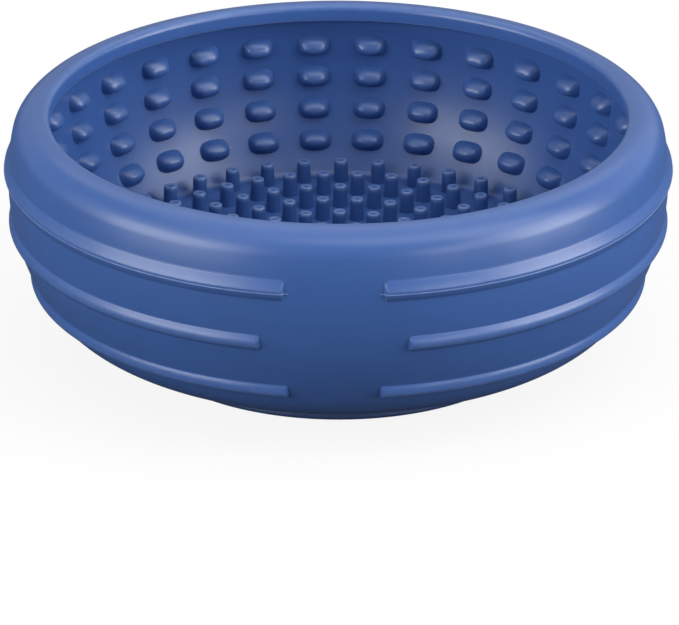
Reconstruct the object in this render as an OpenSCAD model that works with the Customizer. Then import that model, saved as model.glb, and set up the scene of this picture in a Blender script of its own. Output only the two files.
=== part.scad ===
// Silicone lick bowl for a pet: a wide, low bowl with a thick rolled rim, a bulging wall with
// three grip ribs, rows of soft nubs on the inner wall and rings of round pegs on the floor.
// Millimetres, +Z up. The origin is on the ground, under the middle of the bowl.
// The ribs stop at a bare panel on the front, which faces -Y.

/* [Bowl] */
// Widest diameter of the bowl, over the ribs
bowl_d = 160; // [144:1:200]
// Height from the ground to the top of the rim
bowl_h = 59.5; // [56:0.5:72]
// Height of the floor's upper face above the ground
floor_z = 16.2; // [14:0.1:19]
// Thickness of the wall at its widest
wall_t = 5.6; // [4:0.1:6.5]
// Height at which the outside of the wall is widest
widest_z = 43; // [40:0.5:46]
// Height at which the inside of the wall is widest
inside_widest_z = 48.5; // [44:0.5:50]
// Radius of the wall's bulge outside, seen from the side
side_curve_r = 52; // [46:0.5:70]
// Radius of the wall's bulge inside, seen from the side
inside_curve_r = 54; // [48:0.5:70]
// Radius of the rounded lower corner, from wall to underside
corner_r = 20; // [14:0.5:22]
// Radius where the inner wall meets the floor
floor_fillet_r = 1; // [0.5:0.1:3]

/* [Rim] */
// Radius of the roll at the top of the rim, outside
roll_r = 7.2; // [6:0.1:9]
// Width of the flat crown between the roll and the lip
crown_flat = 0.3; // [0.2:0.1:1.5]
// Radius of the lip's upper edge
lip_edge_r = 1.6; // [0.8:0.1:2.4]
// Height of the lip, from the top of the rim to its underside
lip_h = 4.4; // [3.4:0.1:6]
// Radius of the lip's lower edge
lip_tip_r = 0.7; // [0.3:0.1:1]
// Width of the flat under the lip, from its lower edge to the hollow
lip_land = 1.4; // [0.5:0.1:2]

/* [Ribs] */
// How far a rib stands out of the wall
rib_out = 1.5; // [0.8:0.1:2.2]
// Radius of the upper rib's rounded crest
rib_crest_r = 2.75; // [2.3:0.05:3.5]
// Radius of the middle and lower ribs' rounded crests
low_rib_crest_r = 2.1; // [1.75:0.05:2.6]
// Depth of the upper rib's crest below the top of the rim
rib_drop = 13.3; // [12:0.1:16]
// Height of the lower rib's crest above the ground
rib_low_z = 18.4; // [17:0.1:21]
// Angle from the front to the ends of the upper and lower ribs
rib_gap_angle = 8.3; // [4:0.1:20]
// Angle from the front to the ends of the middle rib
middle_gap_angle = 12.6; // [4:0.1:24]
// Depth of the mould's parting line below the upper rib's crest
parting_drop = 0.2; // [0.1:0.05:1]

/* [Foot] */
// Outer diameter of the foot where it stands
foot_d = 97; // [84:1:104]
// Height of the foot, from the ground to the underside of the bowl
foot_h = 6.6; // [5:0.1:8]
// Width of the foot's ring where it stands
foot_w = 7.5; // [5:0.1:12]
// How far the foot's outer side leans in on its way up
foot_lean = 1.6; // [0.5:0.1:3]
// Radius of the foot's lower edges
foot_edge_r = 1; // [0.5:0.1:2]
// Depth of the shallow hollow under the floor, inside the foot
recess_h = 4; // [2:0.1:5.4]
// Width of the slope from the foot up to that hollow
recess_slope_w = 6; // [2:0.5:10]

/* [Nubs] */
// Number of nubs round each row
nubs_around = 32; // [16:1:36]
// Width of a nub along the wall
nub_w = 7.8; // [6:0.1:9]
// Radius of a nub's rounded ends
nub_edge_r = 1.8; // [1:0.1:2.1]
// Bare share of the wall between two rows, which fill the rest of its height
nub_gap_share = 0.07; // [0.04:0.005:0.09]
// Bare share of the wall between the lip's underside and the top row
nub_top_share = 0.126; // [0.1:0.002:0.2]
// Bare share of the wall between the floor's corner and the bottom row
nub_foot_share = 0.152; // [0.08:0.002:0.2]

/* [Pegs] */
// Numbers of pegs in the rings, from the middle outwards
peg_counts = [14, 20, 26, 32, 38, 40];
// Height of a peg above the floor
peg_h = 5.5; // [3:0.1:8]
// Diameter of a peg at its foot
peg_base_d = 3.8; // [3.4:0.1:4.4]
// Diameter of a peg at its top
peg_top_d = 3.3; // [2.4:0.1:3.6]
// Radius of a peg's rounded top edge
peg_edge_r = 0.5; // [0.2:0.1:1]
// Radius of the innermost ring, round the bare middle of the floor
peg_inner_r = 18.7; // [16:0.1:24]
// Bare width of floor between the outermost pegs and the wall's corner
peg_margin = 0.3; // [0.1:0.1:3]

/* [Hidden] */
silicone = [0.25, 0.37, 0.63];
round_fn = 128;
small_fn = 32;
arc_steps = 12;
edge_steps = 5;
nub_rows = 4;
nub_end_flat = 0.4;
overrun = bowl_h;

// Outside of the wall: a large arc, with the roll and the lower corner tangent inside it
panel_r = bowl_d / 2 - rib_out;
side_c = [panel_r - side_curve_r, widest_z];
roll_c = inner_tangent(side_c, side_curve_r, bowl_h - roll_r, roll_r);
corner_c = inner_tangent(side_c, side_curve_r, foot_h + corner_r, corner_r);
roll_angle = angle_to(side_c, roll_c);
corner_angle = angle_to(side_c, corner_c);

// Lip: its upper edge, its inner face and its lower edge, then the flat under it
lip_edge_c = [roll_c.x - crown_flat, bowl_h - lip_edge_r];
mouth_r = lip_edge_c.x - lip_edge_r;
lip_z = bowl_h - lip_h;
lip_tip_c = [mouth_r + lip_tip_r, lip_z + lip_tip_r];

// Inside of the wall: a large arc, with the hollow under the lip and the floor's corner tangent in it
inside_c = [panel_r - wall_t - inside_curve_r, inside_widest_z];
hollow_x = lip_tip_c.x + lip_land;
hollow_run = hollow_x - inside_c.x;
hollow_rise = lip_z - inside_c.y;
hollow_r = (inside_curve_r ^ 2 - hollow_run ^ 2 - hollow_rise ^ 2) / (2 * (inside_curve_r - hollow_rise));
hollow_c = [hollow_x, lip_z - hollow_r];
fillet_c = inner_tangent(inside_c, inside_curve_r, floor_z + floor_fillet_r, floor_fillet_r);
hollow_angle = angle_to(inside_c, hollow_c);
fillet_angle = angle_to(inside_c, fillet_c);
floor_r = fillet_c.x;

// Ribs and the parting line
rib_top_z = bowl_h - rib_drop;
rib_mid_z = (rib_top_z + rib_low_z) / 2;
parting_z = rib_top_z - parting_drop;

// Foot and the hollow inside it
foot_r = foot_d / 2;
foot_in_r = foot_r - foot_w;
recess_r = foot_in_r - recess_slope_w;
underside_z = foot_h + recess_h;

// Nubs: rows that share the wall's arc from the lip's height down; a nub stands out by half its height
lip_angle = asin((lip_z - inside_c.y) / inside_curve_r);
wall_length = arc_length(lip_angle - fillet_angle, inside_curve_r);
nubs_share = 1 - nub_top_share - nub_foot_share - nub_gap_share * (nub_rows - 1);
nub_h = wall_length * nubs_share / nub_rows;
nub_r = nub_h / 2;
nub_end_r = min(nub_edge_r, nub_r - nub_end_flat);
top_row_angle = lip_angle - arc_angle(wall_length * nub_top_share + nub_r, inside_curve_r);
row_step = arc_angle(nub_h + wall_length * nub_gap_share, inside_curve_r);

// Pegs: rings at even steps from the bare middle out to the corner
peg_outer_r = floor_r - peg_margin - peg_base_d / 2;
ring_step = (peg_outer_r - peg_inner_r) / (len(peg_counts) - 1);

// Centre of a circle of radius r and height z that touches a large circle from inside
function inner_tangent(big, big_r, z, r) = [big.x + sqrt((big_r - r) ^ 2 - (z - big.y) ^ 2), z];

// Direction from one centre to another, in degrees
function angle_to(a, b) = atan2(b.y - a.y, b.x - a.x);

// Angle that a length along an arc takes, in degrees
function arc_angle(length, radius) = length / radius * 180 / PI;

// Length along an arc that an angle in degrees takes
function arc_length(angle, radius) = angle * radius * PI / 180;

// Depth of an arc below the middle of a chord, from half the chord
function sagitta(half, radius) = radius - sqrt(radius ^ 2 - half ^ 2);

// Points along an arc
function arc(c, r, from, to, steps = arc_steps) =
    [for (i = [0:steps]) let (a = from + (to - from) * i / steps) c + r * [cos(a), sin(a)]];

// A point on the wall's inner face, and the direction that it faces
function inside_at(a) = inside_c + inside_curve_r * [cos(a), sin(a)];

// Half of the bowl's section, as one closed outline: outside, rim, inside, floor and underside
bowl_outline = concat(
    arc(corner_c, corner_r, -90, corner_angle),
    arc(side_c, side_curve_r, corner_angle, roll_angle),
    arc(roll_c, roll_r, roll_angle, 90),
    arc(lip_edge_c, lip_edge_r, 90, 180, edge_steps),
    arc(lip_tip_c, lip_tip_r, 180, 270, edge_steps),
    arc(hollow_c, hollow_r, 90, hollow_angle),
    arc(inside_c, inside_curve_r, hollow_angle, fillet_angle),
    arc(fillet_c, floor_fillet_r, fillet_angle, -90, edge_steps),
    [[0, floor_z], [0, underside_z], [recess_r, underside_z], [foot_in_r, foot_h]]
);

// The part of the bowl's section between two radii and two heights, turned round the axis
module bowl_part(r_from, r_to, z_from, z_to) {
    rotate_extrude($fn = round_fn)
        intersection() {
            polygon(bowl_outline);
            translate([r_from, z_from]) square([r_to - r_from, z_to - z_from]);
        }
}

// The thick rolled rim above the parting line
module rim_roll() {
    color(silicone) bowl_part(lip_edge_c.x, bowl_d, parting_z, bowl_h + overrun);
}

// The inner lip, which overhangs the inside of the bowl
module rim_lip() {
    color(silicone) bowl_part(0, lip_edge_c.x, parting_z, bowl_h + overrun);
}

// The wall from the floor's corner up to the parting line
module side_wall() {
    color(silicone) bowl_part(floor_r, bowl_d, 0, parting_z);
}

// The round floor with the shallow hollow under it
module bowl_floor() {
    color(silicone) bowl_part(0, floor_r, 0, parting_z);
}

// The ring that the bowl stands on
module foot_ring() {
    color(silicone)
        rotate_extrude($fn = round_fn)
            polygon(concat(
                arc([foot_in_r + foot_edge_r, foot_edge_r], foot_edge_r, 180, 270, edge_steps),
                arc([foot_r - foot_edge_r, foot_edge_r], foot_edge_r, 270, 360, edge_steps),
                [[foot_r - foot_lean, foot_h], [foot_in_r, foot_h]]
            ));
}

// One rib: a round-backed strip bent round the wall, with a gap at the front
module rib(z, gap_angle, crest_r) {
    a = asin((z - side_c.y) / side_curve_r);
    seat = side_c + side_curve_r * [cos(a), sin(a)];
    color(silicone)
        rotate([0, 0, gap_angle - 90])
            rotate_extrude(angle = 360 - 2 * gap_angle, $fn = round_fn)
                translate(seat) rotate(a)
                    intersection() {
                        translate([rib_out - crest_r, 0]) circle(crest_r, $fn = round_fn);
                        translate([0, -crest_r]) square(2 * crest_r);
                    }
}

module upper_rib() {
    rib(rib_top_z, rib_gap_angle, rib_crest_r);
}

module middle_rib() {
    rib(rib_mid_z, middle_gap_angle, low_rib_crest_r);
}

module lower_rib() {
    rib(rib_low_z, rib_gap_angle, low_rib_crest_r);
}

// One nub: half of a short bar with rounded ends, cut flat along its length
module nub() {
    rotate_extrude(angle = 180, $fn = small_fn)
        polygon(concat(
            [[0, -nub_w / 2]],
            arc([nub_r - nub_end_r, nub_end_r - nub_w / 2], nub_end_r, -90, 0, edge_steps),
            arc([nub_r - nub_end_r, nub_w / 2 - nub_end_r], nub_end_r, 0, 90, edge_steps),
            [[0, nub_w / 2]]
        ));
}

// One row of nubs on the inner wall, their flat backs seated as deep as the curved wall allows
module nub_row(row) {
    a = top_row_angle - row_step * (row - 1);
    wall = inside_at(a);
    seat = wall - (sagitta(nub_w / 2, wall.x) + sagitta(nub_r, inside_curve_r)) * [cos(a), sin(a)];
    color(silicone)
        for (i = [0:nubs_around - 1])
            rotate([0, 0, (i + 0.5) * 360 / nubs_around])
                translate([seat.x, 0, seat.y])
                    rotate([0, 90 - a, 0]) rotate([-90, 0, 0]) nub();
}

// One peg: a tapered stem with a rounded top edge
module peg() {
    rotate_extrude($fn = small_fn)
        polygon(concat(
            [[0, 0], [peg_base_d / 2, 0]],
            arc([peg_top_d / 2 - peg_edge_r, peg_h - peg_edge_r], peg_edge_r, 0, 90, edge_steps),
            [[0, peg_h]]
        ));
}

// One ring of pegs; the first peg of every second ring stands half a step off the back
module peg_ring(ring) {
    count = peg_counts[ring - 1];
    first = ring % 2 / 2;
    color(silicone)
        for (i = [0:count - 1])
            rotate([0, 0, 90 + (i + first) * 360 / count])
                translate([peg_inner_r + ring_step * (ring - 1), 0, floor_z]) peg();
}

rim_roll();
rim_lip();
side_wall();
bowl_floor();
foot_ring();
upper_rib();
middle_rib();
lower_rib();
nub_row(1);  // nub_row_1
nub_row(2);  // nub_row_2
nub_row(3);  // nub_row_3
nub_row(4);  // nub_row_4
peg_ring(1);  // peg_ring_1
peg_ring(2);  // peg_ring_2
peg_ring(3);  // peg_ring_3
peg_ring(4);  // peg_ring_4
peg_ring(5);  // peg_ring_5
peg_ring(6);  // peg_ring_6
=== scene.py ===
"""Looks of the silicone lick bowl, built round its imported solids.

The classes hold their sizes in millimetres and angles in degrees; the meshes are written in metres.
The bowl stands on the ground under the origin, +Z up, and its bare front panel faces -Y.
"""

import logging
import math
from dataclasses import dataclass, replace
from enum import Enum
from typing import ClassVar

import bpy
import numpy as np
from mathutils import Matrix, Vector


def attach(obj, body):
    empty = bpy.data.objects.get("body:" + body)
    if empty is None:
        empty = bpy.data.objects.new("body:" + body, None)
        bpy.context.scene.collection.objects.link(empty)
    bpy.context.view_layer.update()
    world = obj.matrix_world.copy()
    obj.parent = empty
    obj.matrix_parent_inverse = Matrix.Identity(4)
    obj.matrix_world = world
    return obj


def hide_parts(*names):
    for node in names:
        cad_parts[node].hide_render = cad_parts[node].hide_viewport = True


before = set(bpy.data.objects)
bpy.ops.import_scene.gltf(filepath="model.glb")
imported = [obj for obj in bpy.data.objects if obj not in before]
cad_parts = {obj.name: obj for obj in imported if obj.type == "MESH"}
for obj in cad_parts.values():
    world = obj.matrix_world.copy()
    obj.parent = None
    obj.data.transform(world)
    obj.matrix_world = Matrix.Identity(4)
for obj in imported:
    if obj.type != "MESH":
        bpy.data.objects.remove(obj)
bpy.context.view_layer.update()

log = logging.getLogger("lick_bowl")
MM = 0.001
BODY = "root"
WELD_MM = 1e-4
# Per-point attribute: rubbed wear, plus painted highlights on the lip's lower edge and on the mould
# line.
RUBBED = "rubbed"

Point = tuple[float, float]
Colour = tuple[float, float, float]
Noise = tuple[float, float]
Socket = bpy.types.NodeSocket
FLOAT, COLOUR, PLACE = "NodeSocketFloat", "NodeSocketColor", "NodeSocketVector"


class Slot(Enum):
    """The record's material slots."""

    OUTSIDE = "silicone_outside"
    FLOOR = "silicone_floor"
    FOOT = "silicone_foot"
    NUBS = "silicone_nubs"
    PEGS = "silicone_pegs"


# Plane geometry

def inner_tangent(big: Point, big_r: float, height: float, small_r: float) -> Point:
    """Centre, at a given height, of a small circle that touches a large one from inside.

    The centres lie as far apart as the radii differ, which gives the distance across.
    """
    return big[0] + math.sqrt((big_r - small_r) ** 2 - (height - big[1]) ** 2), height


def angle_at(centre: Point, radius: float, height: float) -> float:
    """Angle of the point at a height on the right half of a circle."""
    return math.degrees(math.asin((height - centre[1]) / radius))


def heading(start: Point, end: Point) -> float:
    """Direction from one point to another, in degrees above the horizontal."""
    return math.degrees(math.atan2(end[1] - start[1], end[0] - start[0]))


def arc(
    centre: Point, radius: float, start: float, end: float, step: float = 4.0, guard: float = 0.01
) -> np.ndarray:
    """Points along an arc: the centre plus the radius times (cos, sin) of angles from start to end.

    A point lies very close to each end, so that the shading there is the arc's own.

    Args:
        centre: Centre of the arc.
        radius: Its radius.
        start: First angle.
        end: Last angle.
        step: Widest step between two points, in degrees.
        guard: Share of the arc from an end to the point close to it.

    Returns:
        The points, one row each.
    """
    count = max(2, math.ceil(abs(end - start) / step)) + 1
    shares = np.unique(np.concatenate([np.linspace(0, 1, count), [guard, 1 - guard]]))
    angles = np.radians(start + (end - start) * shares)
    return np.array(centre) + radius * np.column_stack([np.cos(angles), np.sin(angles)])


def line(start: Point, end: Point, count: int = 2) -> np.ndarray:
    """Even points along a straight line, both ends included."""
    return np.linspace(start, end, count)


def chain(*parts: np.ndarray) -> np.ndarray:
    """Joins runs of points into one outline and drops points that repeat the one before."""
    points = np.vstack(parts)
    moved = np.linalg.norm(np.diff(points, axis=0), axis=1) > WELD_MM
    return points[np.concatenate([[True], moved])]


def rounded_corner(
    before: Point, corner: Point, after: Point, radius: float, steps: int = 8
) -> np.ndarray:
    """An arc of a given radius in the corner between two straight lines.

    The arc's centre lies on the corner's bisector, where its distance to both lines is the radius.

    Args:
        before: A point on the line that comes in.
        corner: The corner.
        after: A point on the line that goes out.
        radius: Radius of the arc.
        steps: Number of steps along it.

    Returns:
        The arc's points.
    """
    here = np.array(corner, float)
    back = np.array(before, float) - here
    ahead = np.array(after, float) - here
    back /= np.linalg.norm(back)
    ahead /= np.linalg.norm(ahead)
    half = math.acos(float(np.clip(back @ ahead, -1, 1))) / 2
    bisector = (back + ahead) / np.linalg.norm(back + ahead)
    centre = here + bisector * radius / math.sin(half)
    first = here + back * radius / math.tan(half) - centre
    last = here + ahead * radius / math.tan(half) - centre
    turn = math.atan2(first[0] * last[1] - first[1] * last[0], float(first @ last))
    angles = np.linspace(0, turn, steps + 1)
    across = [-first[1], first[0]]
    return centre + np.outer(np.cos(angles), first) + np.outer(np.sin(angles), across)


def squared(wave: np.ndarray, power: np.ndarray | float) -> np.ndarray:
    """A superellipse's cosine or sine: the circle's own raised to a power, with its sign kept."""
    return np.sign(wave) * np.abs(wave) ** power


def soft_bump(values: np.ndarray, centre: float, width: float) -> np.ndarray:
    """One at the centre, falling to zero about a width away, as exp(-(distance / width)^2)."""
    return np.exp(-(((values - centre) / width) ** 2))


# Meshes

@dataclass
class Surface:
    """Closed surfaces: points in millimetres, quads, and how rubbed each point is, painted
    highlights included.
    """

    points: np.ndarray
    quads: np.ndarray
    rubbed: np.ndarray

    def welded(self) -> "Surface":
        """Merges points at one place, so that seams and poles are closed."""
        keys = np.round(self.points / WELD_MM).astype(np.int64)
        _, first, same = np.unique(keys, axis=0, return_index=True, return_inverse=True)
        same = same.reshape(-1)
        return Surface(self.points[first], same[self.quads], self.rubbed[first])

    def outward(self) -> "Surface":
        """Turns the faces over if the volume that they enclose comes out negative."""
        a, b, c, d = (self.points[self.quads[:, i]] for i in range(4))
        volume = np.einsum("ij,ij->", a, np.cross(b, c) + np.cross(c, d))
        return self if volume > 0 else Surface(self.points, self.quads[:, ::-1], self.rubbed)

    def polygons(self) -> list[list[int]]:
        """The quads as lists of corners; one with two equal corners becomes a triangle."""
        kept = self.quads != np.roll(self.quads, -1, axis=1)
        corners = kept.sum(axis=1)
        triangles = self.quads[corners == 3][kept[corners == 3]].reshape(-1, 3)
        return self.quads[corners == 4].tolist() + triangles.tolist()


def grid_surface(points: np.ndarray, rubbed: np.ndarray, wrap_rows: bool) -> Surface:
    """A surface from a grid of points whose columns always close into a ring.

    Quad (i, j) joins points (i, j), (i, j + 1), (i + 1, j + 1) and (i + 1, j).

    Args:
        points: The grid, as rows by columns by 3.
        rubbed: How rubbed each row is.
        wrap_rows: Whether the last row joins the first.

    Returns:
        The surface.
    """
    rows, columns, _ = points.shape
    i = np.arange(rows if wrap_rows else rows - 1)[:, None]
    j = np.arange(columns)[None, :]
    here, below = i * columns, (i + 1) % rows * columns
    ahead = (j + 1) % columns
    quads = np.stack([here + j, here + ahead, below + ahead, below + j], axis=-1)
    return Surface(points.reshape(-1, 3), quads.reshape(-1, 4), np.repeat(rubbed, columns))


def revolve(
    section: np.ndarray, rubbed: np.ndarray, around: int, closed: bool = True
) -> Surface:
    """Turns a section round the bowl's axis: (r, z) becomes (r cos t, r sin t, z).

    A section that isn't a closed loop starts and ends on the axis.
    """
    turn = np.linspace(0, 2 * np.pi, around, endpoint=False)
    radius = section[:, :1]
    height = np.broadcast_to(section[:, 1:], (len(section), around))
    points = np.stack([radius * np.cos(turn), radius * np.sin(turn), height], axis=-1)
    return grid_surface(points, rubbed, closed)


def copies_round(surface: Surface, turns: np.ndarray) -> Surface:
    """Copies a surface to several angles about the bowl's axis, in degrees.

    Each copy's points are the surface's own, turned by its angle, all as one array.
    """
    t = np.radians(turns)[:, None]
    x, y, z = surface.points.T
    sine, cosine, height = np.sin(t), np.cos(t), np.broadcast_to(z, (len(t), len(z)))
    placed = np.stack([x * cosine - y * sine, x * sine + y * cosine, height], axis=-1)
    quads = surface.quads + np.arange(len(turns))[:, None, None] * len(x)
    return Surface(placed.reshape(-1, 3), quads.reshape(-1, 4), np.tile(surface.rubbed, len(turns)))


def put(name: str, data: object) -> bpy.types.Object:
    """Adds an object with the given data to the scene."""
    added = bpy.data.objects.new(name, data)
    bpy.context.scene.collection.objects.link(added)
    return added


def add_piece(
    name: str, surface: Surface, finish: "Silicone", nodes: tuple[str, ...], crease: float = 34.0
) -> None:
    """Writes a surface into a mesh, dresses it and seats it on the bowl's body.

    Args:
        name: Name of the piece.
        surface: Its shape.
        finish: Its material.
        nodes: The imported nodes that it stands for.
        crease: Angle between two faces above which their edge is sharp.
    """
    shape = surface.welded().outward()
    mesh = bpy.data.meshes.new(name)
    mesh.from_pydata((shape.points * MM).tolist(), [], shape.polygons())
    mesh.polygons.foreach_set("use_smooth", np.ones(len(mesh.polygons), bool))
    mesh.set_sharp_from_angle(angle=math.radians(crease))
    layer = mesh.attributes.new(RUBBED, "FLOAT", "POINT")
    layer.data.foreach_set("value", shape.rubbed.astype(np.float32))
    mesh.materials.append(finish.material())
    mesh.update()
    piece = put(name, mesh)
    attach(piece, BODY)
    if nodes:
        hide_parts(*nodes)
    log.info("%s: %d faces", name, len(mesh.polygons))


# Finishes

class Nodes:
    """Adds and links the nodes of one node tree."""

    def __init__(self, tree: bpy.types.NodeTree) -> None:
        """Keeps the tree that the nodes go into."""
        self.tree = tree

    def add(self, kind: str, settings: dict | None = None, **inputs: object) -> bpy.types.Node:
        """Adds a node of a type, sets its properties, and fills its inputs.

        The inputs are named as the node's own, with underscores for spaces.
        """
        node = self.tree.nodes.new(kind)
        for key, value in (settings or {}).items():
            setattr(node, key, value)
        self.fill(node, {key.replace("_", " "): value for key, value in inputs.items()})
        return node

    def fill(self, node: bpy.types.Node, values: dict[str | int, object]) -> None:
        """Links a socket to each named input, or sets the input's own value."""
        for name, value in values.items():
            if isinstance(value, Socket):
                self.tree.links.new(value, node.inputs[name])
            else:
                node.inputs[name].default_value = value

    def maths(self, operation: str, first: object, second: object, clamp: bool = False) -> Socket:
        """The result socket of one Math node."""
        node = self.add("ShaderNodeMath", {"operation": operation, "use_clamp": clamp})
        self.fill(node, {0: first, 1: second})
        return node.outputs[0]

    def blend(self, share: object, first: object, second: object) -> Socket:
        """The colour that lies a share of the way from the first to the second.

        The Mix node's sockets for colours come after those for numbers and vectors.
        """
        node = self.add("ShaderNodeMix", {"data_type": "RGBA"})
        share_in, first_in, second_in, colour_out = 0, 6, 7, 2
        self.fill(node, {share_in: share, first_in: first, second_in: second})
        return node.outputs[colour_out]

    def fade(self, value: object, low: float, high: float, least: float = 0.0) -> Socket:
        """Carries a value smoothly from its range, low to high, to the range from least to one."""
        node = self.add("ShaderNodeMapRange", {"interpolation_type": "SMOOTHSTEP"}, Value=value,
                        From_Min=low, From_Max=high, To_Min=least, To_Max=1.0)
        return node.outputs["Result"]

    def noise(self, place: object, scale: float, detail: float) -> Socket:
        """The height of a noise at the given place, with its scale and its amount of detail."""
        node = self.add("ShaderNodeTexNoise", Vector=place, Scale=scale, Detail=detail)
        return node.outputs["Fac"]

    def effect(self, shared: "Effect", **inputs: object) -> bpy.types.Node:
        """Places one of the shared effects."""
        return self.add("ShaderNodeGroup", {"node_tree": shared.group()}, **inputs)


def emptied(owner: bpy.types.Material | bpy.types.World) -> Nodes:
    """Turns on the nodes of a material or a world, empties them and gives their builder."""
    owner.use_nodes = True
    owner.node_tree.nodes.clear()
    return Nodes(owner.node_tree)


class Effect:
    """A surface effect that the materials share, as one node group with named sockets."""

    name: ClassVar[str]
    inputs: ClassVar[dict[str, str]]
    outputs: ClassVar[dict[str, str]]

    def group(self) -> bpy.types.NodeTree:
        """The effect's node group, made the first time that it is used."""
        found = bpy.data.node_groups.get(self.name)
        if found:
            return found
        made = bpy.data.node_groups.new(self.name, "ShaderNodeTree")
        for direction, sockets in (("INPUT", self.inputs), ("OUTPUT", self.outputs)):
            for socket, kind in sockets.items():
                made.interface.new_socket(socket, in_out=direction, socket_type=kind)
        nodes = Nodes(made)
        self.wire(nodes, nodes.add("NodeGroupInput").outputs)
        return made

    def wire(self, nodes: Nodes, given: bpy.types.NodeOutputs) -> None:
        """Adds the effect's nodes, from the group's inputs to its output."""
        raise NotImplementedError


@dataclass(frozen=True)
class PigmentTone(Effect):
    """Colour that wanders between two tones, as the pigment of a moulded rubber does.

    A broad noise and a fine one are added, and their sum leads from the main tone to the deep one.
    A noise is a scale and an amount of detail, here and in the other effects.
    """

    name = "pigment_tone"
    inputs = {"Place": PLACE, "Tone": COLOUR, "Deep": COLOUR, "Amount": FLOAT}
    outputs = {"Colour": COLOUR}
    broad: Noise = (32.0, 2.0)
    fine: Noise = (260.0, 4.0)
    fine_share: float = 0.35
    turns_deep: tuple[float, float] = (0.36, 0.64)

    def wire(self, nodes: Nodes, given: bpy.types.NodeOutputs) -> None:
        """Adds the two noises and blends the tones by their sum."""
        place, fine_share = given["Place"], self.fine_share
        broad = nodes.maths("MULTIPLY", nodes.noise(place, *self.broad), 1 - fine_share)
        fine = nodes.maths("MULTIPLY", nodes.noise(place, *self.fine), fine_share)
        deep = nodes.fade(nodes.maths("ADD", broad, fine), *self.turns_deep)
        share = nodes.maths("MULTIPLY", deep, given["Amount"])
        nodes.add("NodeGroupOutput", Colour=nodes.blend(share, given["Tone"], given["Deep"]))


@dataclass(frozen=True)
class MouldGrain(Effect):
    """Height of the mould's fine spark-eroded grain, with a slow waviness under it.

    The grain is a fine noise, the waviness a broad one, and the two are added.
    """

    name = "mould_grain"
    inputs = {"Place": PLACE, "Grain": FLOAT, "Wave": FLOAT}
    outputs = {"Height": FLOAT}
    grain: Noise = (3600.0, 2.0)
    wave: Noise = (90.0, 2.0)

    def wire(self, nodes: Nodes, given: bpy.types.NodeOutputs) -> None:
        """Adds the two noises, each times its own height."""
        grain = nodes.maths("MULTIPLY", nodes.noise(given["Place"], *self.grain), given["Grain"])
        wave = nodes.maths("MULTIPLY", nodes.noise(given["Place"], *self.wave), given["Wave"])
        nodes.add("NodeGroupOutput", Height=nodes.maths("ADD", grain, wave))


@dataclass(frozen=True)
class Handling(Effect):
    """What handling leaves on the rubber: paler rubbed edges, a little lint, and uneven gloss.

    The rubbed mask, which also holds painted highlights, is broken up by noise. Lint is the very
    middle of scattered cells. Both lift the colour towards a pale dust, and gloss patches raise or
    lower the roughness.
    """

    name = "handling"
    inputs = {"Place": PLACE, "Colour": COLOUR, "Roughness": FLOAT, "Rubbed": FLOAT,
              "Pale": COLOUR, "Edge": FLOAT, "Lint": FLOAT}
    outputs = {"Colour": COLOUR, "Roughness": FLOAT}
    breaks: Noise = (420.0, 3.0)
    breaks_range: tuple[float, float] = (0.3, 0.7)
    breaks_least: float = 0.55
    lint_cells: float = 900.0
    lint_range: tuple[float, float] = (0.16, 0.07)
    lint_places: Noise = (150.0, 1.0)
    lint_places_range: tuple[float, float] = (0.56, 0.66)
    lint_rough: float = 0.2
    gloss: Noise = (60.0, 3.0)
    gloss_middle: float = 0.5
    gloss_swing: float = 0.12
    worn_smooth: float = 0.03
    least_rough: float = 0.29

    def wire(self, nodes: Nodes, given: bpy.types.NodeOutputs) -> None:
        """Adds the two masks, the pale dust over them and the roughness."""
        place = given["Place"]
        kept = nodes.fade(nodes.noise(place, *self.breaks), *self.breaks_range, self.breaks_least)
        rubbed = nodes.maths("MULTIPLY", given["Rubbed"], kept)
        wear_and_highlight = nodes.maths("MULTIPLY", rubbed, given["Edge"], clamp=True)
        cells = nodes.add("ShaderNodeTexVoronoi", Vector=place, Scale=self.lint_cells)
        speck = nodes.fade(cells.outputs["Distance"], *self.lint_range)
        chosen = nodes.fade(nodes.noise(place, *self.lint_places), *self.lint_places_range)
        specks = nodes.maths("MULTIPLY", speck, chosen)
        lint = nodes.maths("MULTIPLY", specks, given["Lint"], clamp=True)
        pale = nodes.maths("ADD", wear_and_highlight, lint, clamp=True)
        gloss = nodes.maths("SUBTRACT", nodes.noise(place, *self.gloss), self.gloss_middle)
        gloss = nodes.maths("MULTIPLY", gloss, self.gloss_swing)
        rough = nodes.maths("ADD", given["Roughness"], gloss)
        rough = nodes.maths("ADD", rough, nodes.maths("MULTIPLY", lint, self.lint_rough))
        rough = nodes.maths("SUBTRACT", rough, nodes.maths("MULTIPLY", wear_and_highlight, self.worn_smooth))
        rough = nodes.maths("MAXIMUM", rough, self.least_rough)
        colour = nodes.blend(pale, given["Colour"], given["Pale"])
        nodes.add("NodeGroupOutput", Colour=colour, Roughness=rough)


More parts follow.
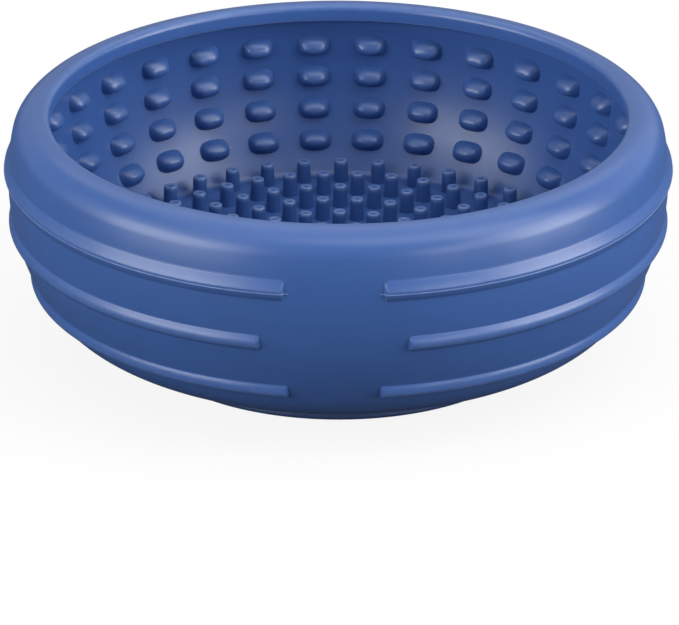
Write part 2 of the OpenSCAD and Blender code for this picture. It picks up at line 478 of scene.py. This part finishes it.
@dataclass(frozen=True)
class Silicone:
    """Satin pigmented silicone rubber, with linear colours and heights in millimetres."""

    slot: Slot
    tone: Colour = (0.040, 0.104, 0.318)
    deep: Colour = (0.036, 0.094, 0.290)
    pale: Colour = (0.15, 0.23, 0.45)
    tone_amount: float = 0.6
    roughness: float = 0.32
    edge: float = 0.25
    lint: float = 0.35
    grain: float = 0.004
    wave: float = 0.01
    ior: float = 1.5

    def material(self) -> bpy.types.Material:
        """The material of this finish, made once.

        The pigment's tone passes through the handling effect into the base colour, and the grain's
        height goes through a Bump node into the normal.
        """
        name = f"moulded_{self.slot.value}"
        found = bpy.data.materials.get(name)
        if found:
            return found
        made = bpy.data.materials.new(name)
        nodes = emptied(made)
        place = nodes.add("ShaderNodeTexCoord").outputs["Object"]
        rubbed = nodes.add("ShaderNodeAttribute", {"attribute_name": RUBBED}).outputs["Fac"]
        tone = nodes.effect(PigmentTone(), Place=place, Tone=(*self.tone, 1),
                            Deep=(*self.deep, 1), Amount=self.tone_amount)
        handled = nodes.effect(Handling(), Place=place, Colour=tone.outputs[0], Rubbed=rubbed,
                               Roughness=self.roughness, Pale=(*self.pale, 1), Edge=self.edge,
                               Lint=self.lint)
        grain = nodes.effect(MouldGrain(), Place=place, Grain=self.grain * MM, Wave=self.wave * MM)
        bump = nodes.add("ShaderNodeBump", Height=grain.outputs[0], Strength=1.0, Distance=1.0)
        shader = nodes.add("ShaderNodeBsdfPrincipled", Base_Color=handled.outputs["Colour"],
                           Roughness=handled.outputs["Roughness"], Normal=bump.outputs[0])
        shader.inputs["IOR"].default_value = self.ior
        nodes.add("ShaderNodeOutputMaterial", Surface=shader.outputs[0])
        return made


@dataclass(frozen=True)
class Finishes:
    """The finish of each kind of piece."""

    outside: Silicone = Silicone(Slot.OUTSIDE)
    floor: Silicone = Silicone(Slot.FLOOR, roughness=0.34, lint=0.5)
    # Painted shade: the foot's tone and deep are darker than the outside's, standing in for the
    # shade under the bowl.
    foot: Silicone = Silicone(
        Slot.FOOT, tone=(0.017, 0.044, 0.138), deep=(0.015, 0.039, 0.122), roughness=0.5, edge=0.12
    )
    nubs: Silicone = Silicone(Slot.NUBS, roughness=0.3, grain=0.003)
    pegs: Silicone = Silicone(Slot.PEGS, roughness=0.32, grain=0.003, edge=0.8)


# The bowl

@dataclass
class BowlSection:
    """The bowl's section: a bulging wall with a thick roll, an inner lip, a floor and a foot."""

    bowl_d: float = 159.7
    bowl_h: float = 59.5
    floor_z: float = 16.2
    wall_t: float = 6.0
    widest_z: float = 43.0
    inside_widest_z: float = 48.5
    side_curve_r: float = 52.0
    inside_curve_r: float = 54.0
    corner_r: float = 20.0
    floor_fillet_r: float = 1.0
    roll_r: float = 7.2
    crown_flat: float = 0.3
    lip_edge_r: float = 1.6
    lip_h: float = 4.4
    lip_tip_r: float = 0.7
    lip_land: float = 1.4
    rib_out: float = 0.95
    rib_drop: float = 13.3
    rib_low_z: float = 18.4
    parting_drop: float = 0.2
    foot_d: float = 97.0
    foot_h: float = 6.6
    foot_w: float = 7.5
    foot_lean: float = 1.6
    foot_edge_r: float = 1.0
    recess_h: float = 4.0
    recess_slope_w: float = 6.0
    recess_corner_r: float = 1.5
    soft_fillet_r: float = 3.0
    around: int = 240
    long_arc_step: float = 1.2
    corner_step: float = 2.0
    roll_step: float = 3.0

    def __post_init__(self) -> None:
        """Works out the centres of the arcs, each tangent to its neighbour, and where they meet."""
        panel_r = self.bowl_d / 2 - self.rib_out
        self.side_c = (panel_r - self.side_curve_r, self.widest_z)
        self.side = self.side_c, self.side_curve_r
        self.roll_c = inner_tangent(*self.side, self.bowl_h - self.roll_r, self.roll_r)
        self.corner_c = inner_tangent(*self.side, self.foot_h + self.corner_r, self.corner_r)
        self.lip_edge_c = (self.roll_c[0] - self.crown_flat, self.bowl_h - self.lip_edge_r)
        self.mouth_r = self.lip_edge_c[0] - self.lip_edge_r
        self.lip_z = self.bowl_h - self.lip_h
        self.lip_tip_c = (self.mouth_r + self.lip_tip_r, self.lip_z + self.lip_tip_r)
        self.inside_c = (panel_r - self.wall_t - self.inside_curve_r, self.inside_widest_z)
        hollow_x = self.lip_tip_c[0] + self.lip_land
        run, rise = hollow_x - self.inside_c[0], self.lip_z - self.inside_c[1]
        spare = self.inside_curve_r**2 - run**2 - rise**2
        self.hollow_r = spare / (2 * (self.inside_curve_r - rise))
        self.hollow_c = (hollow_x, self.lip_z - self.hollow_r)
        self.inside = self.inside_c, self.inside_curve_r
        sharp_r, soft_r = self.floor_fillet_r, self.soft_fillet_r
        self.fillet_c = inner_tangent(*self.inside, self.floor_z + sharp_r, sharp_r)
        self.soft_fillet_c = inner_tangent(*self.inside, self.floor_z + soft_r, soft_r)
        self.floor_r = self.fillet_c[0]
        cut = (self.floor_r - self.corner_c[0]) / self.corner_r
        self.cut_angle = -math.degrees(math.acos(cut))
        self.parting_z = self.bowl_h - self.rib_drop - self.parting_drop
        self.foot_r = self.foot_d / 2
        self.foot_in_r = self.foot_r - self.foot_w
        self.recess_r = self.foot_in_r - self.recess_slope_w
        self.underside_z = self.foot_h + self.recess_h


@dataclass
class BowlBody:
    """The moulding itself, as five pieces that meet where its solids meet."""

    section: BowlSection
    finishes: Finishes
    crown_rub: float = 0.4
    crown_rub_w: float = 3.0
    lip_rub_w: float = 0.8
    # Painted highlight on the lip's lower edge: its strength, the angle of its line, its reach and
    # its fade, in degrees.
    lip_painted_highlight: float = 6.0
    lip_painted_highlight_angle: float = 30.0
    lip_painted_highlight_reach: float = 15.0
    lip_painted_highlight_fade: float = 10.0
    lip_step: float = 10.0
    base_rub_w: float = 1.2
    foot_edge_step: float = 8.0
    floor_points: int = 24
    recess_points: int = 12
    foot_points: int = 6
    seat_points: int = 4

    def rim_roll(self) -> Surface:
        """The thick rolled rim: outside arc, roll, flat crown, and the hollow under the lip."""
        s = self.section
        roll_angle, hollow_angle = heading(s.side_c, s.roll_c), heading(s.inside_c, s.hollow_c)
        outline = chain(
            arc(*s.side, angle_at(*s.side, s.parting_z), roll_angle, s.long_arc_step),
            arc(s.roll_c, s.roll_r, roll_angle, 90, s.roll_step),
            line((s.roll_c[0], s.bowl_h), (s.lip_edge_c[0], s.bowl_h)),
            line((s.lip_edge_c[0], s.lip_z), (s.hollow_c[0], s.lip_z)),
            arc(s.hollow_c, s.hollow_r, 90, hollow_angle),
            arc(*s.inside, hollow_angle, angle_at(*s.inside, s.parting_z), s.long_arc_step),
        )
        crown = outline[:, 1] > s.roll_c[1]
        rubbed = soft_bump(outline[:, 0], s.roll_c[0], self.crown_rub_w) * crown * self.crown_rub
        return revolve(outline, rubbed, s.around)

    def rim_lip(self) -> Surface:
        """The inner lip: rounded upper edge, upright face, small lower edge and the flat under it.

        The upper edge is most rubbed a third of its radius down. The lower edge has a painted
        highlight, a thin pale line where it turns away from the upright face.
        """
        s = self.section
        outline = chain(
            arc(s.lip_edge_c, s.lip_edge_r, 90, 180),
            arc(s.lip_tip_c, s.lip_tip_r, 180, 270, self.lip_step),
            line((s.lip_tip_c[0], s.lip_z), (s.lip_edge_c[0], s.lip_z)),
        )
        rubbed = soft_bump(outline[:, 1], s.bowl_h - s.lip_edge_r / 3, self.lip_rub_w)
        # Painted highlight: a thin pale line along the lip's lower edge, written into the rubbed
        # attribute.
        inward, down = (np.array(s.lip_tip_c) - outline).T
        off_line = np.abs(np.degrees(np.arctan2(down, inward)) - self.lip_painted_highlight_angle)
        wear_and_highlight = np.clip((self.lip_painted_highlight_reach - off_line) / self.lip_painted_highlight_fade, 0, 1) * (down > 0)
        return revolve(outline, np.maximum(rubbed, self.lip_painted_highlight * wear_and_highlight), s.around)

    def side_wall(self) -> Surface:
        """The bulging wall: round the lower corner, up the outside, down the inside to the floor.

        Its soft fillet runs a little way out over the floor.
        """
        s = self.section
        corner_angle = heading(s.side_c, s.corner_c)
        fillet_angle = heading(s.inside_c, s.soft_fillet_c)
        outline = chain(
            arc(s.corner_c, s.corner_r, s.cut_angle, corner_angle, s.corner_step),
            arc(*s.side, corner_angle, angle_at(*s.side, s.parting_z), s.long_arc_step),
            arc(*s.inside, angle_at(*s.inside, s.parting_z), fillet_angle, s.long_arc_step),
            arc(s.soft_fillet_c, s.soft_fillet_r, fillet_angle, -90),
            line((s.soft_fillet_c[0], s.floor_z), (s.floor_r, s.floor_z)),
        )
        return revolve(outline, np.zeros(len(outline)), s.around)

    def bowl_floor(self) -> Surface:
        """The round floor, flat above, with the shallow hollow and its rounded slope below."""
        s = self.section
        slope_top, slope_foot = (s.recess_r, s.underside_z), (s.foot_in_r, s.foot_h)
        middle, foot_line = (0.0, s.underside_z), (s.corner_c[0], s.foot_h)
        outline = chain(
            line((0, s.floor_z), (s.floor_r, s.floor_z), self.floor_points),
            arc(s.corner_c, s.corner_r, s.cut_angle, -90, s.corner_step),
            line(foot_line, (s.foot_in_r + 2 * s.recess_corner_r, s.foot_h), self.seat_points),
            rounded_corner(foot_line, slope_foot, slope_top, s.recess_corner_r),
            rounded_corner(slope_foot, slope_top, middle, s.recess_corner_r),
            line((s.recess_r - 2 * s.recess_corner_r, s.underside_z), middle, self.recess_points),
        )
        return revolve(outline, np.zeros(len(outline)), s.around, closed=False)

    def foot_ring(self) -> Surface:
        """The ring that the bowl stands on, with rounded lower edges and a flank that leans in."""
        s = self.section
        edge, step, count = s.foot_edge_r, self.foot_edge_step, self.foot_points
        outline = chain(
            arc((s.foot_in_r + edge, edge), edge, 180, 270, step),
            line((s.foot_in_r + edge, 0), (s.foot_r - edge, 0), count),
            arc((s.foot_r - edge, edge), edge, 270, 360, step),
            line((s.foot_r, edge), (s.foot_r - s.foot_lean, s.foot_h), count),
            line((s.foot_r - s.foot_lean, s.foot_h), (s.foot_in_r, s.foot_h)),
        )
        rubbed = soft_bump(outline[:, 1], 0.0, self.base_rub_w)
        return revolve(outline, rubbed, s.around)

    def build(self) -> None:
        """Adds the five pieces."""
        for name, surface, finish in (
            ("rim_roll", self.rim_roll(), self.finishes.outside),
            ("rim_lip", self.rim_lip(), self.finishes.outside),
            ("side_wall", self.side_wall(), self.finishes.outside),
            ("bowl_floor", self.bowl_floor(), self.finishes.floor),
            ("foot_ring", self.foot_ring(), self.finishes.foot),
        ):
            add_piece(f"moulded_{name}", surface, finish, (name,))


@dataclass(frozen=True)
class RibShape:
    """One rib: its crest's place, its ends, and how far and how wide it stands out of the wall."""

    height: float
    gap_angle: float
    out: float
    upper_w: float
    lower_w: float
    upper_power: float
    lower_power: float = 2.3
    foot_soft: float = 0.05

    def rise(self, distance: np.ndarray, side: np.ndarray) -> np.ndarray:
        """Height above the wall at a distance from the crest, as a share of the width there.

        The hump is the rib's height times 1 - distance^power, and it is rounded over where it
        meets the wall. The upper side, one, is like a roof; the lower side, minus one, is rounder;
        at the ends the two are mixed.
        """
        share = (1 + side) / 2
        upper = 1 - distance**self.upper_power
        lower = 1 - distance**self.lower_power
        hump = self.out * (lower + (upper - lower) * share)
        return (hump + np.sqrt(hump**2 + self.foot_soft**2)) / 2

    def width(self, side: np.ndarray) -> np.ndarray:
        """Width on a side: the upper one for one, the lower one for minus one, mixed in between."""
        return self.lower_w + (self.upper_w - self.lower_w) * (1 + side) / 2


@dataclass
class GripRibs:
    """The three raised ribs round the outside, which stop at the bare front panel."""

    section: BowlSection
    finishes: Finishes
    reach: float = 1.2
    end_square: float = 3.2
    end_share: float = 0.4
    root_depth: float = 0.9
    sunk: float = 0.02
    rub_power: float = 3.0
    along: int = 300
    end_steps: int = 14
    crest_steps: int = 12
    crest_gather: float = 1.3
    foot_steps: int = 6

    def __post_init__(self) -> None:
        """Sets the three shapes; the middle rib lies halfway between the other two."""
        s = self.section
        top = s.bowl_h - s.rib_drop
        self.upper = RibShape(
            height=top, gap_angle=8.3, out=s.rib_out, upper_w=2.55, lower_w=2.5, upper_power=1.15
        )
        lower = RibShape(
            height=s.rib_low_z, gap_angle=8.3, out=1.3, upper_w=2.1, lower_w=2.1, upper_power=1.8
        )
        middle = replace(lower, height=(top + s.rib_low_z) / 2, gap_angle=12.6, out=1.15)
        self.shapes = {"upper_rib": self.upper, "middle_rib": middle, "lower_rib": lower}

    def seat(self, shape: RibShape) -> Point:
        """A rib's angle on the outside arc, in degrees, and its distance from the bowl's axis."""
        s = self.section
        angle = angle_at(*s.side, shape.height)
        return angle, s.side_c[0] + s.side_curve_r * math.cos(math.radians(angle))

    def on_wall(
        self, seat_angle: float, across: np.ndarray, turn: np.ndarray, out: np.ndarray
    ) -> np.ndarray:
        """Points that stand out of the wall, along its normal.

        The wall's arc angle is the seat's plus the distance across, up the wall, over the arc's
        radius. The turn is in radians about the axis, from the front towards +X.
        """
        s = self.section
        angle = math.radians(seat_angle) + across / s.side_curve_r
        radius = s.side_c[0] + (s.side_curve_r + out) * np.cos(angle)
        height = s.side_c[1] + (s.side_curve_r + out) * np.sin(angle)
        return np.stack([radius * np.sin(turn), -radius * np.cos(turn), height], axis=-1)

    def rib(self, shape: RibShape) -> Surface:
        """One rib: a strip with steep, squarish ends, carried along its middle line.

        The path runs up one side of the middle line and back down the other. Round the ends its
        direction follows a superellipse, shortened along the rib. Every row of the grid is the
        path, set off by one distance of the section.
        """
        seat_angle, seat_r = self.seat(shape)
        first = math.radians(shape.gap_angle) + self.end_share * shape.upper_w / seat_r
        last = 2 * math.pi - first
        side = np.linspace(first, last, self.along)
        end = np.linspace(0, np.pi, self.end_steps + 2)[1:-1]
        bulge = 2 / self.end_square
        end_across = squared(np.cos(end), bulge)
        end_along = self.end_share * squared(np.sin(end), bulge)
        straight, bend = np.ones(self.along), np.ones(self.end_steps)
        middle = np.concatenate([side, last * bend, side[::-1], first * bend])
        across = np.concatenate([straight, end_across, -straight, -end_across])
        ahead = np.concatenate([0 * straight, end_along, 0 * straight, -end_along])
        crest = np.linspace(0, 1, self.crest_steps) ** self.crest_gather
        foot = np.linspace(1, self.reach, self.foot_steps)[1:]
        share = np.concatenate([crest, foot])[:, None]
        out = shape.rise(share, across)
        out[-1] = -self.sunk
        out = np.vstack([out, np.full((2, len(middle)), -self.root_depth)])
        distance = np.concatenate([share, share[-1:], [[0.0]]]) * shape.width(across)
        turn = middle + distance * ahead / seat_r
        points = self.on_wall(seat_angle, distance * across, turn, out)
        rubbed = np.clip(out[:, 0] / shape.out, 0, 1) ** self.rub_power
        return grid_surface(points, rubbed, wrap_rows=False)

    def build(self) -> None:
        """Adds the three ribs."""
        for name, shape in self.shapes.items():
            add_piece(f"moulded_{name}", self.rib(shape), self.finishes.outside, (name,))


@dataclass
class MouldLine:
    """The fine raised line that the mould's halves leave on the upper rib, just past its ends."""

    ribs: GripRibs
    finishes: Finishes
    line_r: float = 0.19
    drop: float = 0.7
    sunk: float = 0.05
    # Painted highlight: how pale the line is made through the rubbed attribute, so that it looks
    # lit.
    highlight_paleness: float = 2.5
    past_end: float = 1.1
    along: int = 420
    around: int = 8
    taper_share: float = 1 / 1680
    crease: float = 80.0

    def build(self) -> None:
        """Adds the line: a thin tube whose middle follows the rib's surface, thinner at its ends.

        Past the rib's last full section, its distance from the crest is the superellipse's, so
        that it runs down the end and onto the wall.
        """
        ribs, shape = self.ribs, self.ribs.upper
        seat_angle, seat_r = ribs.seat(shape)
        full = math.radians(shape.gap_angle) + ribs.end_share * shape.upper_w / seat_r
        start = math.radians(shape.gap_angle) - self.past_end / seat_r
        eased = (1 - np.cos(np.linspace(0, np.pi, self.along))) / 2
        turn = start + (2 * np.pi - 2 * start) * eased
        past = np.maximum(full - np.minimum(turn, 2 * np.pi - turn), 0) * seat_r / ribs.end_share
        power = ribs.end_square
        distance = (self.drop**power + past**power) ** (1 / power)
        side = -self.drop / distance
        out = shape.rise(distance / shape.width(side), side) - self.sunk
        across = np.full(self.along, -self.drop)
        middle = ribs.on_wall(seat_angle, across, turn, out)
        normal = ribs.on_wall(seat_angle, across, turn, out + 1) - middle
        tangent = np.gradient(middle, axis=0)
        tangent /= np.linalg.norm(tangent, axis=1, keepdims=True)
        normal -= (normal * tangent).sum(axis=1, keepdims=True) * tangent
        normal /= np.linalg.norm(normal, axis=1, keepdims=True)
        beside = np.cross(tangent, normal)
        thin = np.clip(np.minimum(eased, 1 - eased) / self.taper_share, 0, 1)
        radius = (self.line_r * np.sqrt(thin))[:, None, None]
        angle = np.linspace(0, 2 * np.pi, self.around, endpoint=False)[None, :, None]
        spoke = np.cos(angle) * normal[:, None] + np.sin(angle) * beside[:, None]
        points = middle[:, None] + radius * spoke
        # Painted highlight: the whole line is made pale through the rubbed attribute.
        surface = grid_surface(points, np.full(self.along, self.highlight_paleness), wrap_rows=False)
        add_piece("mould_line", surface, self.finishes.outside, (), self.crease)


@dataclass
class WallNubs:
    """The four rows of loaf-shaped nubs on the inner wall."""

    section: BowlSection
    finishes: Finishes
    nubs_around: int = 32
    rows: int = 4
    nub_w: float = 7.8
    nub_out: float = 2.75
    gap_share: float = 0.07
    top_share: float = 0.126
    foot_share: float = 0.152
    around: int = 16
    ring_shares: tuple[float, ...] = (1.05, 0.99, 0.88, 0.66, 0.36, 0.0)
    base_square: float = 2.9
    square_fade: float = 4.0
    cap_share: float = 1.05
    flare: float = 0.1
    sag: float = 0.6
    root_depth: float = 0.5
    crown_rub: float = 0.6
    crease: float = 70.0

    def __post_init__(self) -> None:
        """Shares the wall's arc between the rows, their gaps and the bare margins."""
        s = self.section
        lip_angle = angle_at(*s.inside, s.lip_z)
        length = math.radians(lip_angle - heading(s.inside_c, s.fillet_c)) * s.inside_curve_r
        nubs_share = 1 - self.top_share - self.foot_share - self.gap_share * (self.rows - 1)
        self.nub_h = length * nubs_share / self.rows
        first = (length * self.top_share + self.nub_h / 2) / s.inside_curve_r
        self.top_angle = math.radians(lip_angle) - first
        self.pitch = (self.nub_h + length * self.gap_share) / s.inside_curve_r

    def row(self, number: int) -> Surface:
        """All the nubs of one row, counted from the top.

        A nub's level lines are superellipses, squarish at the wall, which shrink by the same amount
        all round and end in a short ridge. It stands out as a round cap does, sqrt(k^2 - share^2),
        with a narrow flare at its foot, and its ridge sags, so that the lower flank is the steeper
        one. The wall's own curve, x^2 and y^2 over twice the radii, is added all round.
        """
        s = self.section
        angle = self.top_angle - self.pitch * (number - 1)
        seat_r = s.inside_c[0] + s.inside_curve_r * math.cos(angle)
        seat_z = s.inside_c[1] + s.inside_curve_r * math.sin(angle)
        share = np.array([0.0, self.ring_shares[0], *self.ring_shares])[:, None]
        edge = math.sqrt(self.cap_share**2 - 1)
        cap = np.sqrt(np.maximum(self.cap_share**2 - share**2, edge**2)) - edge
        out = cap / (self.cap_share - edge) * self.nub_out
        out[:2] = -self.root_depth
        out[3] += self.flare
        turn = np.linspace(0, 2 * np.pi, self.around, endpoint=False) + np.pi / self.around
        within = np.minimum(share, 1)
        bulge = 2 / (2 + (self.base_square - 2) * within**self.square_fade)
        ridge = (self.nub_w - self.nub_h) / 2
        x = (ridge + share * self.nub_h / 2) * squared(np.cos(turn), bulge)
        y = share * squared(np.sin(turn), bulge) * self.nub_h / 2 - self.sag * (1 - within**2)
        lift = out + x**2 / (2 * seat_r) + y**2 / (2 * s.inside_curve_r)
        radius = seat_r - y * math.sin(angle) - lift * math.cos(angle)
        height = seat_z + y * math.cos(angle) - lift * math.sin(angle)
        rubbed = np.clip(out[:, 0] / self.nub_out, 0, 1) ** 2 * self.crown_rub
        one = grid_surface(np.stack([radius, x, height], axis=-1), rubbed, wrap_rows=False)
        places = (np.arange(self.nubs_around) + 0.5) * 360 / self.nubs_around
        return copies_round(one, places)

    def build(self) -> None:
        """Adds the four rows."""
        for number in range(1, self.rows + 1):
            node, row = f"nub_row_{number}", self.row(number)
            add_piece(f"moulded_{node}", row, self.finishes.nubs, (node,), self.crease)


@dataclass
class FloorPegs:
    """The rings of upright pegs round the floor's bare middle."""

    section: BowlSection
    finishes: Finishes
    counts: tuple[int, ...] = (14, 20, 26, 32, 38, 40)
    peg_h: float = 5.5
    base_d: float = 3.8
    top_d: float = 3.3
    neck_out: float = 0.06
    neck_drop: float = 1.2
    edge_r: float = 0.35
    edge_angles: tuple[float, ...] = (8.0, 49.0, 90.0)
    dish: float = 0.22
    dish_share: float = 0.8
    dish_flat_share: float = 0.3
    root_depth: float = 0.4
    inner_r: float = 18.7
    margin: float = 0.3
    rub_w: float = 0.7
    rub_from_r: float = 0.5
    around: int = 12
    crease: float = 70.0

    def peg_section(self) -> np.ndarray:
        """A peg's section: up its tapered stem, over the rounded edge and into the dished top."""
        root, top, bottom = -self.root_depth, self.peg_h, self.peg_h - self.dish
        stem = [[0, root], [self.base_d / 2, root],
                [self.top_d / 2 + self.neck_out, top - self.neck_drop]]
        flat_r = self.top_d / 2 - self.edge_r
        angles = np.radians(self.edge_angles)
        edge = np.column_stack([np.cos(angles), np.sin(angles)]) * self.edge_r
        dished = [[flat_r * self.dish_share, top], [flat_r * self.dish_flat_share, bottom],
                  [0, bottom]]
        return np.vstack([stem, edge + [flat_r, top - self.edge_r], dished])

    def ring(self, number: int) -> Surface:
        """One ring, counted from the middle: a revolved peg, copied evenly round the axis."""
        s = self.section
        outer_r = s.floor_r - self.margin - self.base_d / 2
        ring_r = self.inner_r + (outer_r - self.inner_r) * (number - 1) / (len(self.counts) - 1)
        section = self.peg_section()
        off_middle = section[:, 0] > self.rub_from_r
        rubbed = soft_bump(section[:, 1], self.peg_h, self.rub_w) * off_middle
        one = revolve(section, rubbed, self.around, closed=False)
        one.points += [ring_r, 0, s.floor_z]
        count = self.counts[number - 1]
        return copies_round(one, 90 + (np.arange(count) + number % 2 / 2) * 360 / count)

    def build(self) -> None:
        """Adds the six rings."""
        for number in range(1, len(self.counts) + 1):
            node, ring = f"peg_ring_{number}", self.ring(number)
            add_piece(f"moulded_{node}", ring, self.finishes.pegs, (node,), self.crease)


# Studio

@dataclass
class PhotoCamera:
    """A long-lens camera at the photograph's viewing angle, worked out from the bowl's outline."""

    azimuth: float = 0.65
    elevation: float = 23.11
    roll: float = 0.135
    distance: float = 1356.9
    centre_z: float = 29.08
    focal_px: float = 5647.0
    axis_px: Point = (338.2, 225.867)
    picture_px: tuple[int, int] = (679, 625)
    sensor_mm: float = 36.0
    nearest_m: float = 0.05
    farthest_m: float = 20.0

    def build(self) -> None:
        """Adds the camera, turned so that the middle of the picture lies on its axis."""
        a, e, r = (math.radians(v) for v in (self.azimuth, self.elevation, self.roll))
        back = Vector((math.sin(a) * math.cos(e), -math.cos(a) * math.cos(e), math.sin(e)))
        level = Vector((math.cos(a), math.sin(a), 0))
        lift = back.cross(level)
        right = level * math.cos(r) + lift * math.sin(r)
        up = lift * math.cos(r) - level * math.sin(r)
        ahead = (
            right * (self.picture_px[0] / 2 - self.axis_px[0])
            - up * (self.picture_px[1] / 2 - self.axis_px[1])
            - back * self.focal_px
        ).normalized()
        x_axis = (right - ahead * right.dot(ahead)).normalized()
        y_axis = (-ahead).cross(x_axis)
        data = bpy.data.cameras.new("photo_camera")
        data.sensor_width = self.sensor_mm
        data.lens = self.focal_px * self.sensor_mm / self.picture_px[0]
        data.clip_start, data.clip_end = self.nearest_m, self.farthest_m
        camera = put("photo_camera", data)
        turned = Matrix((x_axis, y_axis, -ahead)).transposed().to_4x4()
        place = (back * self.distance + Vector((0, 0, self.centre_z))) * MM
        camera.matrix_world = Matrix.Translation(place) @ turned
        bpy.context.scene.camera = camera
        log.info("camera: %.0f mm lens", data.lens)


@dataclass(frozen=True)
class SoftBox:
    """A soft lamp, placed by its direction and distance and sized as the bowl sees it.

    Azimuth counts from the front towards +X. Angles are in degrees, distance and height in metres.
    """

    name: str
    azimuth: float
    elevation: float
    wide: float
    high: float
    watts: float
    distance: float = 1.3
    aim_height: float = 0.03

    def build(self) -> None:
        """Adds the lamp, facing the middle of the bowl."""
        a, e = math.radians(self.azimuth), math.radians(self.elevation)
        away = Vector((math.sin(a) * math.cos(e), -math.cos(a) * math.cos(e), math.sin(e)))
        data = bpy.data.lights.new(self.name, "AREA")
        data.shape = "RECTANGLE"
        data.size = 2 * self.distance * math.tan(math.radians(self.wide / 2))
        data.size_y = 2 * self.distance * math.tan(math.radians(self.high / 2))
        data.energy = self.watts
        lamp = put(self.name, data)
        lamp.location = away * self.distance + Vector((0, 0, self.aim_height))
        lamp.rotation_euler = away.to_track_quat("Z", "Y").to_euler()
        log.info("lamp %s: %.1f W", self.name, self.watts)


@dataclass
class Studio:
    """The white floor, the white surroundings and the soft lamps, with lengths in metres.

    The floor throws little light back up, and the surroundings show mostly in reflections.
    """

    floor_half: float = 3.0
    floor_drop: float = 0.00005
    floor_pale: float = 0.9
    floor_bounce: float = 0.1
    floor_white: float = 0.88
    mirrored: float = 0.45
    ambient: float = 0.02
    lamps: tuple[SoftBox, ...] = (
        SoftBox("left_low", -57, 4, 46, 14, 6.3),
        SoftBox("left_middle", -57, 20, 46, 18, 8.5),
        SoftBox("left_high", -57, 40, 40, 20, 1.5),
        SoftBox("left_side", -90, 18, 24, 36, 0.9),
        SoftBox("right_low", 76, 5, 36, 16, 8.3),
        SoftBox("right_middle", 74, 23, 36, 20, 7.0),
        SoftBox("right_high", 72, 45, 36, 22, 3.2),
        SoftBox("right_front", 38, 12, 20, 24, 2.5),
        SoftBox("right_back", 130, 25, 50, 40, 1.5),
        SoftBox("overhead", 0, 84, 70, 46, 5.8),
        SoftBox("overhead_front", 0, 62, 40, 16, 0.8),
        SoftBox("overhead_right", 45, 62, 50, 30, 2.6),
        SoftBox("overhead_back", 180, 56, 60, 36, 4.0),
    )

    def build(self) -> None:
        """Adds the floor, the world and the lamps."""
        self.floor()
        self.world()
        for lamp in self.lamps:
            lamp.build()
        bpy.context.scene.view_settings.view_transform = "Standard"

    def floor(self) -> None:
        """A wide flat floor, seen as white, with the bowl's soft shadow on it."""
        h, z = self.floor_half, -self.floor_drop
        mesh = bpy.data.meshes.new("studio_floor")
        mesh.from_pydata([(-h, -h, z), (h, -h, z), (h, h, z), (-h, h, z)], [], [(0, 1, 2, 3)])
        made = bpy.data.materials.new("studio_floor")
        nodes = emptied(made)
        camera = nodes.add("ShaderNodeLightPath").outputs["Is Camera Ray"]
        bounce, pale = ((tone, tone, tone, 1) for tone in (self.floor_bounce, self.floor_pale))
        tone = nodes.blend(camera, bounce, pale)
        matt = nodes.add("ShaderNodeBsdfDiffuse", Color=tone)
        white = nodes.add("ShaderNodeEmission", Color=(1, 1, 1, 1), Strength=1.0)
        share = nodes.maths("MULTIPLY", camera, self.floor_white)
        mixed = nodes.add("ShaderNodeMixShader")
        nodes.fill(mixed, {0: share, 1: matt.outputs[0], 2: white.outputs[0]})
        nodes.add("ShaderNodeOutputMaterial", Surface=mixed.outputs[0])
        mesh.materials.append(made)
        floor = put("studio_floor", mesh)

    def world(self) -> None:
        """White to the camera, dimmer white in reflections, and a faint even light on all."""
        world = bpy.data.worlds.new("studio")
        bpy.context.scene.world = world
        nodes = emptied(world)
        path = nodes.add("ShaderNodeLightPath")
        glossy = nodes.maths("MULTIPLY", path.outputs["Is Glossy Ray"], self.mirrored)
        diffuse = nodes.maths("MULTIPLY", path.outputs["Is Diffuse Ray"], self.ambient)
        unseen = nodes.maths("ADD", glossy, diffuse)
        strength = nodes.maths("ADD", path.outputs["Is Camera Ray"], unseen)
        light = nodes.add("ShaderNodeBackground", Color=(1, 1, 1, 1), Strength=strength)
        nodes.add("ShaderNodeOutputWorld", Surface=light.outputs[0])


def main() -> None:
    logging.basicConfig(level=logging.INFO, format="%(message)s")
    PhotoCamera().build()
    section, finishes = BowlSection(), Finishes()
    BowlBody(section, finishes).build()
    ribs = GripRibs(section, finishes)
    ribs.build()
    MouldLine(ribs, finishes).build()
    WallNubs(section, finishes).build()
    FloorPegs(section, finishes).build()
    Studio().build()


if __name__ == "__main__":
    main()
